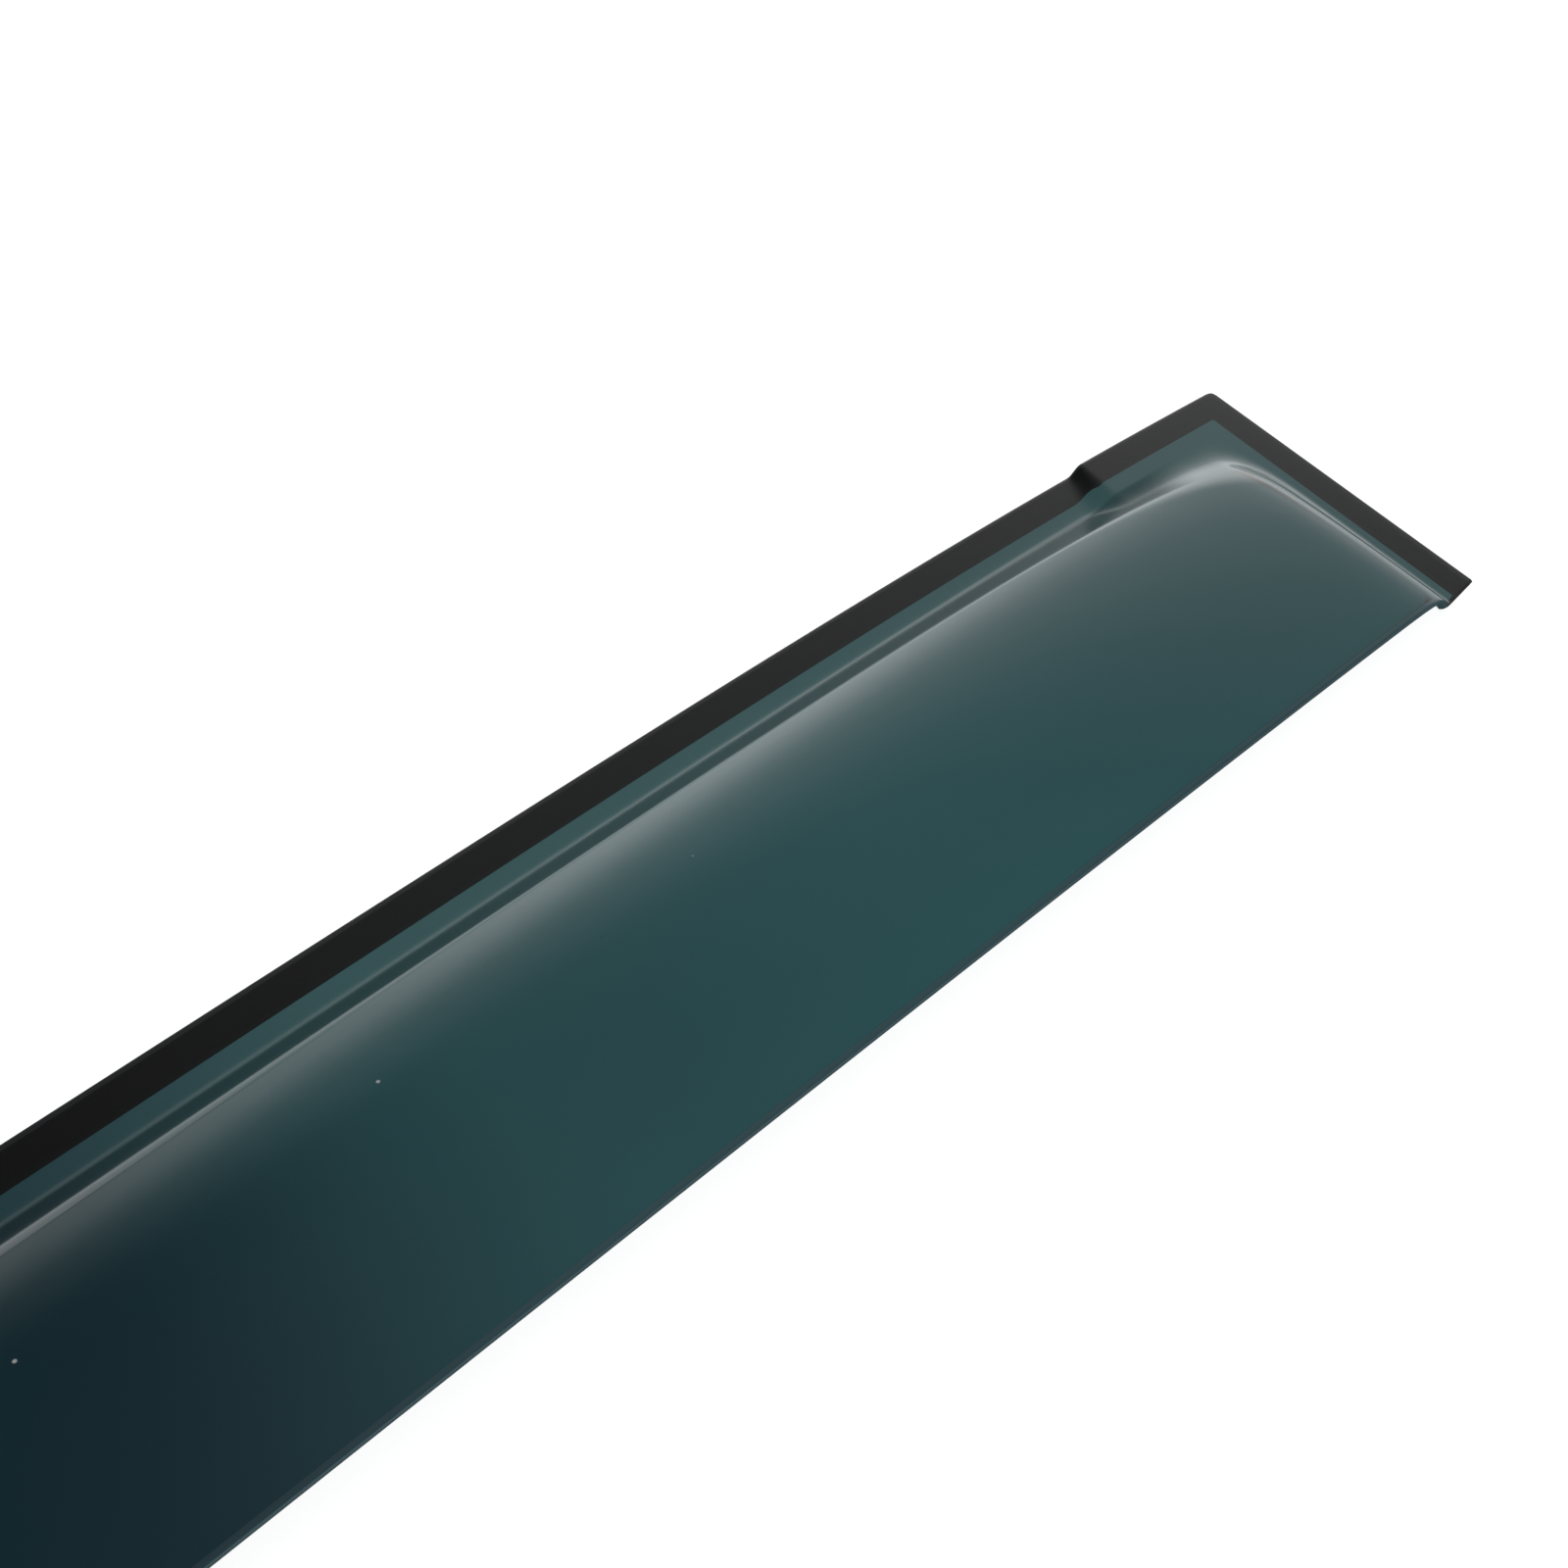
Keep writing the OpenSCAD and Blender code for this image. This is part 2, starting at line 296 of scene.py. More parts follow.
def plan(f, c, d):
    """Plan position: x is minus c plus the section's lean times d, and y is the upper edge less
    d."""
    c, d = rounded_corner(f, c, d)
    reach = f.step_at + f.step_splay + f.step_run + f.riser_run
    lean = -f.end_rake / f.visor_w * (1 - 2 * clamp((c - reach) / (f.visor_len - 2 * reach)))
    return -c + lean * d, upper_y(f, c) - d


def flange_rise(f, c, d):
    """The flange: level, with a smooth ramp up to its last stretch that splays toward the riser."""
    splay = f.step_splay * d / f.flange_w
    return f.step_h * ease((f.step_at + splay - c) / (f.step_run + splay))


def soft_min(p, q, r):
    """The lower of two values, less (r - difference) squared / (4 r) where they are nearly
    equal."""
    return np.minimum(p, q) - np.clip(r - np.abs(p - q), 0, None) ** 2 / (4 * r)


def settle(u):
    """1 - exp(-u), continued straight below zero."""
    return np.where(u < 0, u, 1 - np.exp(-np.clip(u, 0, None)))


def soft_at(f, c):
    """Widening of the riser: falls off exponentially from each end wall."""
    near = np.clip(c - f.end_flange_w, 0, None) / f.soft_run
    far = np.clip(f.visor_len - c - f.end_flange_w, 0, None) / f.soft_run
    return f.corner_soft * (np.exp(-near) + np.exp(-far))


def near_corner(f, c):
    """1 at each end wall, falling off exponentially along the riser."""
    near = np.clip(c - f.end_flange_w - f.wall_run, 0, None) / f.corner_reach
    far = np.clip(f.visor_len - c - f.end_flange_w - f.far_wall_run, 0, None) / f.corner_reach
    return np.exp(-near) + np.exp(-far)


def across_rise(f, c, a):
    """Section of the body: a straight riser, height x a / run, and behind its shoulder an
    exponential crown that settles at the height of the lower edge, joined by a softened minimum
    that is wider near the corners."""
    full = f.body_h + f.body_gain * (1 - np.exp(-c / f.gain_len))
    soft, gain = soft_at(f, c), full - f.riser_h
    run = f.riser_run + soft
    flat = np.maximum(f.crown_run, gain / f.crown_slope) + soft
    reach = visor_width(f, c) - f.flange_w
    crown = f.riser_h + gain * settle((a - run) / flat) / settle((reach - run) / flat)
    return soft_min(f.riser_h * a / run, crown, f.shoulder + f.corner_shoulder * near_corner(f, c))


def end_rise(f, v, a, wall, run):
    """Share of the height at a distance v from an end flange: a straight wall and an exponential,
    joined by a softened minimum that is wider near the riser, where a is small."""
    crown = f.wall_share + (1 - f.wall_share) * settle((v - wall) / run)
    near = np.exp(-np.clip(a - f.riser_run, 0, None) / f.corner_reach)
    return soft_min(f.wall_share * v / wall, crown, f.wall_soft + f.corner_wall_soft * near)


def body_rise(f, c, d):
    """The body: its section times the rise at each end. Outside its foot it goes on below the
    flange."""
    e, g, a = c - f.end_flange_w, f.visor_len - c - f.end_flange_w, d - f.flange_w
    ends = end_rise(f, np.clip(e, 0, None), a, f.wall_run, f.end_run)
    ends = ends * end_rise(f, np.clip(g, 0, None), a, f.far_wall_run, f.far_end_run)
    outside = np.clip(-e, 0, None) + np.clip(-g, 0, None)
    return across_rise(f, c, a) * ends - f.dive * outside


def sheet_rise(f, c, d):
    """The higher of flange and body, plus (fillet - difference) squared / (4 x fillet) near their
    line. The fillet is wider on the raised flange, fading exponentially down the end wall."""
    p, q = flange_rise(f, c, d), body_rise(f, c, d)
    fade = np.exp(-np.clip(d - f.flange_w, 0, None) / f.fillet_run)
    fillet = f.fillet + f.corner_fillet * flange_rise(f, c, f.flange_w) / f.step_h * fade
    return np.maximum(p, q) + np.clip(fillet - np.abs(p - q), 0, None) ** 2 / (4 * fillet)


def rim_share(f, c, d):
    """How far a place is into the rounding of an edge, from 0 to 1 at the rim: the length of the
    shares by which it is nearer than the radius to each edge. Also the radius that applies
    there."""
    low = clamp(1 - (visor_width(f, c) - d) / f.edge_r) ** 2
    cuts = clamp(1 - d / f.cut_r) ** 2 + clamp(1 - c / f.cut_r) ** 2
    cuts = cuts + clamp(1 - (f.visor_len - c) / f.cut_r) ** 2
    radius = (f.edge_r * low + f.cut_r * cuts) / np.maximum(low + cuts, 1e-12)
    return clamp(np.sqrt(low + cuts)), radius


def edge_inset(f, c, d):
    """How far each face is drawn in at the rim: r x (1 - root(1 - share squared))."""
    share_in, radius = rim_share(f, c, d)
    return radius * (1 - np.sqrt(1 - share_in**2))


def bevel_share(f, c, d):
    """How far a place is into the bevel under the lower edge: 1 - distance from the edge / run,
    with a shorter run at the end flanges."""
    past = np.minimum(c, f.visor_len - c) - f.end_flange_w
    run = f.end_bevel_run + (f.bevel_run - f.end_bevel_run) * ease(past / f.wall_run)
    return clamp(1 - (visor_width(f, c) - d) / run)


def sheet_faces(f, c, d):
    """Heights of the upper and the under face, which have the same form: tape + rise, and the
    sheet's thickness above that. Both are drawn in at the rim, and the under face rises in the
    bevel."""
    rise, inset = sheet_rise(f, c, d), edge_inset(f, c, d)
    under = f.tape_t + rise + inset + f.bevel_h * bevel_share(f, c, d)
    return f.tape_t + f.sheet_t + rise - inset, under


def to_middle(f):
    """The shift that brings the middle of the footprint to the origin, as in the CAD model."""
    c = np.linspace(0, f.visor_len, 400)
    x, y = plan(f, np.concatenate([c, c]), np.concatenate([0 * c, visor_width(f, c)]))
    return -(x.max() + x.min()) / 2, -(y.max() + y.min()) / 2


# Grids and meshes. The gaps between sections are finest at folds, rims and the step.

FOLD_REACH = 0.001
STEP_LEAD = 0.004
STEP_TAIL = 0.03
RIM_GAP = 0.0004
FLANGE_GAP = 0.0012
FOLD_GAP = 0.0002
FAR_FOLD_GAP = 0.0003
WALL_GAP = 0.0004
CROWN_GAP = 0.0009
STEP_GAP = 0.0006
TAIL_GAP = 0.002
LONG_GAP = 0.0045
CROWN_ROWS = 0.02
BEVEL_FOLD = 0.00006


def graded(stops):
    """Values from stop to stop: each stretch (start, end, gap) is cut evenly into steps of at most
    gap."""
    runs = [
        np.linspace(a, b, max(1, math.ceil((b - a) / gap - 1e-9)) + 1)[:-1] for a, b, gap in stops
    ]
    return np.concatenate(runs + [[stops[-1][1]]])


def round_steps(radius, count):
    """Distances from an edge at even angles round its rounding: radius x (1 - cos angle)."""
    return radius * (1 - np.cos(np.linspace(0, math.pi / 2, count + 1)))


def section_places(f):
    """Places of the sections along the visor, closest at the rims, the end walls and the step."""
    step_end = f.step_at + f.step_splay + f.step_run + f.riser_run
    foot, far_foot = f.end_flange_w, f.visor_len - f.end_flange_w
    soft = foot + f.wall_run + 2 * f.end_run
    far_soft = far_foot - f.far_wall_run - f.far_end_run
    rim = round_steps(f.cut_r, 4)[:-1]
    inner = graded(
        [
            (f.cut_r, f.corner_r, RIM_GAP),
            (f.corner_r, foot - FOLD_REACH, FLANGE_GAP),
            (foot - FOLD_REACH, foot + FOLD_REACH, FOLD_GAP),
            (foot + FOLD_REACH, soft, WALL_GAP),
            (soft, f.step_at - STEP_LEAD, CROWN_GAP),
            (f.step_at - STEP_LEAD, step_end, STEP_GAP),
            (step_end, step_end + STEP_TAIL, TAIL_GAP),
            (step_end + STEP_TAIL, far_soft, LONG_GAP),
            (far_soft, far_foot - FOLD_REACH, FLANGE_GAP),
            (far_foot - FOLD_REACH, far_foot + FOLD_REACH, FAR_FOLD_GAP),
            (far_foot + FOLD_REACH, f.visor_len - f.corner_r, FLANGE_GAP),
            (f.visor_len - f.corner_r, f.visor_len - f.cut_r, RIM_GAP),
        ]
    )
    return np.concatenate([rim, inner, f.visor_len - rim[::-1]])


def row_places(f, c):
    """Distances of the rows from the upper edge, one line of the array for each section: they
    follow the foot of the riser and its shoulder, and then the width and the lower edge's
    rounding."""
    width, top = visor_width(f, c), f.flange_w + f.riser_run + soft_at(f, c)
    stops = [
        (f.cut_r, 4),
        (f.corner_r, 7),
        (f.flange_w - FOLD_REACH, 10),
        (f.flange_w + FOLD_REACH, 8),
        (top - FOLD_REACH, 10),
        (top + FOLD_REACH, 22),
        (top + CROWN_ROWS, 12),
        (width - f.bevel_run - BEVEL_FOLD, 1),
        (width - f.bevel_run + BEVEL_FOLD, 3),
        (width - f.edge_r, 0),
    ]
    parts = [np.broadcast_to(round_steps(f.cut_r, 4)[:-1], (len(c), 4))]
    for (start, count), (end, _) in zip(stops, stops[1:]):
        start, end = (np.broadcast_to(v, c.shape)[:, None] for v in (start, end))
        parts.append(start + (end - start) * np.arange(count) / count)
    return np.hstack(parts + [width[:, None] - round_steps(f.edge_r, 6)[::-1]])


def grid_quads(rows, columns, start=0):
    """Quads of a grid whose points lie row by row."""
    a = start + np.arange(rows * columns).reshape(rows, columns)
    return np.stack([a[:-1, :-1], a[:-1, 1:], a[1:, 1:], a[1:, :-1]], -1).reshape(-1, 4)


def new_piece(name, points, faces, material, node):
    """A smooth mesh object in the CAD frame that stands for a CAD node and rides on the part."""
    mesh = bpy.data.meshes.new(name)
    mesh.from_pydata(points.tolist(), [], [list(face) for face in faces])
    mesh.validate()
    mesh.polygons.foreach_set("use_smooth", np.ones(len(mesh.polygons), bool))
    mesh.materials.append(material)
    mesh.update()
    piece = bpy.data.objects.new(name, mesh)
    bpy.context.scene.collection.objects.link(piece)
    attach(piece, "root")
    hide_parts(node)
    return piece


# Where each finish starts beside the folds, and over what length it fades.

FOOT_OUT, STEP_FOOT_OUT, FOOT_FADE = 0.0003, 0.0002, 0.0008
SHOULDER_OUT, SHOULDER_FADE = 0.0001, 0.0007
STEEP_FROM, STEEP_FADE = 0.47, 0.09
WALL_OUT, WALL_FADE = 0.0014, 0.001
END_OUT, END_FADE = 0.003, 0.0015
CREST_FROM, CREST_FADE, CREST_ON_FLANGE = 0.01, 0.016, 0.3
LIP_RUN = 0.018
RIM_SHARPNESS = 40


def flange_mask(f, c, d):
    """1 on the flanges and 0 on the body, by how far the body stands over the flange, as a share of
    the fillet."""
    return 1 - ease((body_rise(f, c, d) - flange_rise(f, c, d)) / f.fillet)


def riser_mask(f, c, d):
    """1 on the riser where it is steep and 0 elsewhere, where painted shade darkens the tint and
    gloss and the haze is rougher. Its foot lies further out at the step.
    """
    a, run = d - f.flange_w, f.riser_run + soft_at(f, c)
    foot = -FOOT_OUT - STEP_FOOT_OUT * flange_rise(f, c, f.flange_w) / f.step_h
    steep = ease((f.riser_h / run - STEEP_FROM) / STEEP_FADE)
    return ease((a - foot) / FOOT_FADE) * ease((run + SHOULDER_OUT - a) / SHOULDER_FADE) * steep


def wall_mask(f, c, d):
    """1 on the whole riser and on both end walls, and 0 on the flanges and the crown."""
    a = d - f.flange_w
    across = ease((f.riser_run + soft_at(f, c) + WALL_OUT - a) / WALL_FADE)
    near = ease((f.end_flange_w + f.wall_run + END_OUT - c) / END_FADE)
    far = ease((f.end_flange_w + f.far_wall_run + END_OUT - (f.visor_len - c)) / END_FADE)
    return (1 - flange_mask(f, c, d)) * np.maximum(across, np.maximum(near, far))


def crest_mask(f, c, d):
    """1 beside the riser, fading out over the crown, and a third of that on the flange."""
    a = d - f.flange_w
    return np.where(a < 0, CREST_ON_FLANGE, 1 - ease((a - CREST_FROM) / CREST_FADE))


def lip_mask(f, c, d):
    """1 at the lower edge, fading out over the last stretch of the body before it, where painted
    light lightens the tint.
    """
    return ease(1 - (visor_width(f, c) - d) / LIP_RUN)


def visor_sheet(f):
    """The whole sheet as one closed skin: the upper face z = top(c, d) and the under face
    z = under(c, d) on one grid of places, joined by a strip all round the rim."""
    c = section_places(f)
    d = row_places(f, c)
    c = np.broadcast_to(c[:, None], d.shape)
    x, y = plan(f, c, d)
    dx, dy = to_middle(f)
    top, under = sheet_faces(f, c, d)
    upper = np.stack([x + dx, y + dy, top], -1).reshape(-1, 3)
    lower = np.stack([x + dx, y + dy, under], -1).reshape(-1, 3)
    rows, columns = d.shape
    index = np.arange(rows * columns).reshape(rows, columns)
    border = np.concatenate([index[0, :-1], index[:-1, -1], index[-1, :0:-1], index[:0:-1, 0]])
    after, below = np.roll(border, -1), rows * columns
    strip = np.stack([border, border + below, after + below, after], -1)
    upper_quads = grid_quads(rows, columns)
    under_quads = grid_quads(rows, columns, below)[:, ::-1]
    points = np.concatenate([upper, lower])
    rim = rim_share(f, c, d)[0].ravel()
    masks = {
        name: np.tile(mask(f, c, d).ravel(), 2)
        for name, mask in (
            ("flange", flange_mask),
            ("riser", riser_mask),
            ("wall", wall_mask),
            ("crest", crest_mask),
            ("lip", lip_mask),
        )
    }
    bevel = clamp(RIM_SHARPNESS * bevel_share(f, c, d).ravel())
    masks["rim"] = np.concatenate([rim, np.maximum(rim, bevel)])
    return *outward(points, np.concatenate([upper_quads, under_quads, strip])), masks


def tape_skin(f, along, across, turned):
    """A strip of foam: a flat section with waisted sides, whose points across are pulled in by
    waist x sin(pi x height), carried along the flange. turned swaps the roles of c and d."""
    width = across[1] - across[0]
    heights = np.linspace(0, 1, 5)
    steps = np.linspace(0, 1, 11)
    waist = f.tape_pull / width * np.sin(math.pi * heights)
    u = np.concatenate([steps, 1 - waist[1:-1][::-1], steps[::-1], waist[1:-1]])
    h = np.concatenate([np.ones(11), heights[1:-1][::-1], np.zeros(11), heights[1:-1]])
    place = across[0] + width * u
    if turned:
        c = np.broadcast_to(place, (len(along), len(u)))
        end = visor_width(f, c) - f.end_bevel_run * (1.5 - 0.5 * h)
        d = f.tape_w + f.tape_gap + (end - f.tape_w - f.tape_gap) * along[:, None]
    else:
        c = np.broadcast_to(along[:, None], (len(along), len(u)))
        d = np.broadcast_to(place, c.shape)
    x, y = plan(f, c, d)
    dx, dy = to_middle(f)
    z = flange_rise(f, c, d) + (f.tape_t - f.tape_gap) * h
    points = np.stack([x + dx, y + dy, z], -1).reshape(-1, 3)
    rings, n = c.shape
    index = np.arange(rings * n).reshape(rings, n)
    wrapped = np.hstack([index, index[:, :1]])
    sides = np.stack(
        [wrapped[:-1, :-1], wrapped[:-1, 1:], wrapped[1:, 1:], wrapped[1:, :-1]], -1
    ).reshape(-1, 4)
    turn = -1 if signed_volume(points, sides) < 0 else 1
    faces = sides[:, ::turn].tolist() + [index[0, ::-turn].tolist(), index[-1, ::turn].tolist()]
    return points, faces


def signed_volume(points, quads):
    """A sixth of the sum of a . (b x c) + a . (c x d) over the quads abcd: positive for a closed
    skin whose faces point outward."""
    a, b, c, d = (points[quads[:, k]] for k in range(4))
    return float((a * (np.cross(b, c) + np.cross(c, d))).sum()) / 6


def outward(points, quads):
    """The closed skin with its faces pointing outward."""
    return points, quads if signed_volume(points, quads) > 0 else quads[:, ::-1]


# Materials.


def add_node(tree, kind, inputs=None, **values):
    """A node with its settings, its input values and its links. An output as a value makes a
    link."""
    made = tree.nodes.new(kind)
    for name, value in values.items():
        setattr(made, name, value)
    for socket, value in (inputs or {}).items():
        if isinstance(value, bpy.types.NodeSocket):
            tree.links.new(value, made.inputs[socket])
        else:
            made.inputs[socket].default_value = value
    return made


def ramp(tree, source, stops, mode="LINEAR"):
    """A colour ramp on source. stops is (place, colour or grey)."""
    made = add_node(tree, "ShaderNodeValToRGB", {0: source})
    made.color_ramp.interpolation = mode
    points = made.color_ramp.elements
    for k, (place, value) in enumerate(stops):
        point = points[k] if k < 2 else points.new(place)
        point.position = place
        point.color = (*((value,) * 3 if np.isscalar(value) else value), 1)
    return made.outputs[0]


def new_material(name):
    material = bpy.data.materials.new(name)
    material.use_nodes = True
    material.node_tree.nodes.clear()
    return material, material.node_tree


def mask_value(tree, name):
    """The sheet's own mask of that name, from 0 to 1."""
    return add_node(tree, "ShaderNodeAttribute", attribute_name=name).outputs["Fac"]


def map_range(tree, value, low, high, start=0.0, end=1.0):
    """A value between low and high brought to between start and end, and held there beyond."""
    inputs = {0: value, 1: low, 2: high, 3: start, 4: end}
    return add_node(tree, "ShaderNodeMapRange", inputs).outputs[0]


def maths(tree, operation, *values):
    """One step of arithmetic on outputs and numbers."""
    inputs = dict(enumerate(values))
    return add_node(tree, "ShaderNodeMath", inputs, operation=operation).outputs[0]


def scaled(tree, tone, factor):
    """A colour times a factor."""
    inputs = {0: tone, "Scale": factor}
    return add_node(tree, "ShaderNodeVectorMath", inputs, operation="SCALE").outputs[0]


def blended(tree, part, first, second):
    """The first shader where part is 0, and the second where it is 1."""
    return add_node(tree, "ShaderNodeMixShader", {0: part, 1: first, 2: second}).outputs[0]


def mixed_tone(tree, part, first, second):
    """The first colour where part is 0, and the second where it is 1."""
    inputs = {0: part, 6: first, 7: second}
    return add_node(tree, "ShaderNodeMix", inputs, data_type="RGBA").outputs[2]


def noise(tree, place, scale, detail):
    inputs = {"Vector": place, "Scale": scale, "Detail": detail}
    return add_node(tree, "ShaderNodeTexNoise", inputs).outputs[0]


def acrylic_tint(tree, look, place):
    """The tint with painted shade, graded darkest at the middle of the visor and lighter toward its
    stepped end.
    The grading drifts a little, flanges have their own, the lower edge is lightened by painted
    light and the riser darkened by painted shade."""
    along = add_node(tree, "ShaderNodeSeparateXYZ", {0: place}).outputs["X"]
    cloud = noise(tree, place, look.cloud_scale, 2.0)
    drift = map_range(tree, cloud, 0.3, 0.7, -look.drift, look.drift)
    shift = maths(tree, "MULTIPLY_ADD", mask_value(tree, "crest"), look.crest_shift, drift)
    grade = map_range(tree, maths(tree, "ADD", along, shift), look.painted_shade_full_at, look.end_at)
    reach = look.end_at - look.painted_shade_full_at
    body_stops = [
        (0.0, tuple(look.tint_in_painted_shade)),
        (1.0, tuple(look.end_tint)),
        ((look.middle_at - look.painted_shade_full_at) / reach, tuple(look.middle_tint)),
        ((look.clear_at - look.painted_shade_full_at) / reach, tuple(look.tint)),
    ]
    flange_stops = [
        (0.0, tuple(look.flange_in_painted_shade)),
        (1.0, tuple(look.end_flange)),
        (0.3, tuple(look.flange_tint)),
        (0.6, tuple(look.flange_tint)),
    ]
    body, flange = (ramp(tree, grade, stops, "EASE") for stops in (body_stops, flange_stops))
    even = mixed_tone(tree, mask_value(tree, "flange"), body, flange)
    # Painted light: lightens the tint toward the lower edge.
    lip_lighting = map_range(tree, mask_value(tree, "lip"), 0.0, 1.0, 1.0, look.lip_painted_light)
    # Painted shade: darkens the tint on the steep riser.
    riser_shading = map_range(tree, mask_value(tree, "riser"), 0.0, 1.0, 1.0, look.riser_painted_shade)
    return scaled(tree, even, maths(tree, "MULTIPLY", lip_lighting, riser_shading))


def acrylic_polish(tree, look, place):
    """The roughness: hazy patches on the polished faces, and duller flanges and riser."""
    haze = noise(tree, place, look.haze_scale, 5.0)
    polish = map_range(tree, haze, 0.42, 0.75, look.roughness, look.roughness + look.smudge)
    dull_riser = maths(tree, "MULTIPLY", mask_value(tree, "riser"), look.riser_haze)
    hazed = maths(tree, "MAXIMUM", mask_value(tree, "flange"), dull_riser)
    inputs = {0: hazed, 2: polish, 3: look.flange_rough}
    return add_node(tree, "ShaderNodeMix", inputs).outputs[0]


def acrylic_faces(tree, look, place, tint, inside):
    """Refraction and gloss, mixed by Fresnel over finely waved skin. On the inside the gloss is
    tinted twice over, the gloss on the steep riser is dimmed as painted shade, and the walls'
    inside only lets light straight through."""
    wave = noise(tree, place, look.wave_scale, 1.0)
    waves = {"Height": wave, "Strength": look.wave, "Distance": look.wave_depth}
    skin = add_node(tree, "ShaderNodeBump", waves).outputs[0]
    mirror = add_node(tree, "ShaderNodeFresnel", {"IOR": look.ior, "Normal": skin}).outputs[0]
    turns = maths(tree, "MULTIPLY", inside, 2.0)
    inner = add_node(tree, "ShaderNodeGamma", {"Color": tint, "Gamma": turns}).outputs[0]
    # Painted shade: dims the gloss on the steep riser.
    riser_gloss_shading = map_range(tree, mask_value(tree, "riser"), 0.0, 1.0, 1.0, look.riser_gloss_painted_shade)
    echo, rough = scaled(tree, inner, riser_gloss_shading), acrylic_polish(tree, look, place)
    refraction = {"Color": tint, "IOR": look.ior, "Roughness": 0.0, "Normal": skin}
    through = add_node(tree, "ShaderNodeBsdfRefraction", refraction).outputs[0]
    glossy = {"Color": echo, "Roughness": rough, "Normal": skin}
    gloss = add_node(tree, "ShaderNodeBsdfGlossy", glossy).outputs[0]
    faces = blended(tree, mirror, through, gloss)
    straight = add_node(tree, "ShaderNodeBsdfTransparent", {"Color": tint}).outputs[0]
    wall_inside = maths(tree, "MULTIPLY", mask_value(tree, "wall"), inside)
    return blended(tree, wall_inside, faces, straight)


def acrylic_edges(tree, look, inside):
    """The frosted rims: dull from outside, glowing from inside, darker at the flanges' cuts."""
    flange = mask_value(tree, "flange")
    tone, glow_tone = (
        mixed_tone(tree, flange, (*low, 1), (*cut, 1))
        for low, cut in ((look.edge_tone, look.cut_tone), (look.edge_glow, look.cut_glow))
    )
    dull = add_node(tree, "ShaderNodeBsdfDiffuse", {"Color": tone}).outputs[0]
    glow = add_node(tree, "ShaderNodeBsdfTranslucent", {"Color": glow_tone}).outputs[0]
    return blended(tree, inside, dull, glow)


def acrylic_material(look):
    """Tinted acrylic: each face lets a tint through and mirrors by Fresnel on the outside. The tint
    carries painted shade graded over the sheet, painted light at the lower edge and painted shade
    on the riser; hazy patches vary its polish, and a few specks of dust lie on it."""
    material, tree = new_material("tinted_acrylic")
    place = add_node(tree, "ShaderNodeTexCoord").outputs["Object"]
    inside = add_node(tree, "ShaderNodeNewGeometry").outputs["Backfacing"]
    tint = acrylic_tint(tree, look, place)
    glass = acrylic_faces(tree, look, place, tint, inside)
    cells = {"Vector": place, "Scale": look.dust_scale}
    dust = add_node(tree, "ShaderNodeTexVoronoi", cells).outputs["Distance"]
    dots = map_range(tree, dust, look.speck_size, look.speck_core, 0.0, look.speck_cover)
    grain = add_node(tree, "ShaderNodeBsdfDiffuse", {"Color": (*look.speck, 1)}).outputs[0]
    clean = blended(tree, dots, glass, grain)
    rim = map_range(tree, mask_value(tree, "rim"), 0.3, 0.8)
    sheet = blended(tree, rim, clean, acrylic_edges(tree, look, inside))
    shadow = add_node(tree, "ShaderNodeLightPath").outputs["Is Shadow Ray"]
    clear = add_node(tree, "ShaderNodeBsdfTransparent", {"Color": tint}).outputs[0]
    add_node(tree, "ShaderNodeOutputMaterial", {"Surface": blended(tree, shadow, sheet, clear)})
    return material


def foam_material(look):
    """Black closed-cell foam: a dull skin pitted by fine open cells."""
    material, tree = new_material("foam_tape")
    place = add_node(tree, "ShaderNodeTexCoord").outputs["Object"]
    cells = add_node(
        tree, "ShaderNodeTexVoronoi", {"Vector": place, "Scale": 1 / look.cell_size}
    ).outputs["Distance"]
    body = ramp(tree, cells, [(0.0, tuple(look.cell)), (0.45, tuple(look.skin))])
    pits = add_node(
        tree, "ShaderNodeBump", {"Height": cells, "Strength": 0.6, "Distance": 0.0001}
    ).outputs[0]
    dull = add_node(tree, "ShaderNodeMapRange", {0: cells, 3: 0.95, 4: 0.8}).outputs[0]
    foam = add_node(
        tree, "ShaderNodeBsdfPrincipled", {"Base Color": body, "Roughness": dull, "Normal": pits}
    ).outputs[0]
    add_node(tree, "ShaderNodeOutputMaterial", {"Surface": foam})
    return material


def seen_plainly(tree):
    """1 for rays from the camera, and for those that mirrors and glass send on."""
    path = add_node(tree, "ShaderNodeLightPath")
    both = add_node(
        tree,
        "ShaderNodeMath",
        {0: path.outputs["Is Glossy Ray"], 1: path.outputs["Is Transmission Ray"]},
        operation="MAXIMUM",
    ).outputs[0]
    return add_node(
        tree, "ShaderNodeMath", {0: path.outputs["Is Camera Ray"], 1: both}, operation="MAXIMUM"
    ).outputs[0]


FLOOR_Z = -1e-4
BEHIND = (0.731, 0.682, 0)


def floor_material(studio):
    """White floor: mostly its own white where it is seen, so that the object's shadow stays
    faint."""
    material, tree = new_material("studio_floor")
    glow = add_node(
        tree, "ShaderNodeEmission", {"Color": (1, 1, 1, 1), "Strength": studio.floor_glow}
    ).outputs[0]
    veil = studio.floor_level - studio.floor_glow
    shade = add_node(tree, "ShaderNodeBsdfDiffuse", {"Color": (veil, veil, veil, 1)}).outputs[0]
    seen = add_node(tree, "ShaderNodeAddShader", {0: glow, 1: shade}).outputs[0]
    lit = add_node(tree, "ShaderNodeBsdfDiffuse", {"Color": (0.8, 0.8, 0.8, 1)}).outputs[0]
    both = add_node(
        tree, "ShaderNodeMixShader", {0: seen_plainly(tree), 1: lit, 2: seen}
    ).outputs[0]
    add_node(tree, "ShaderNodeOutputMaterial", {"Surface": both})
    return material


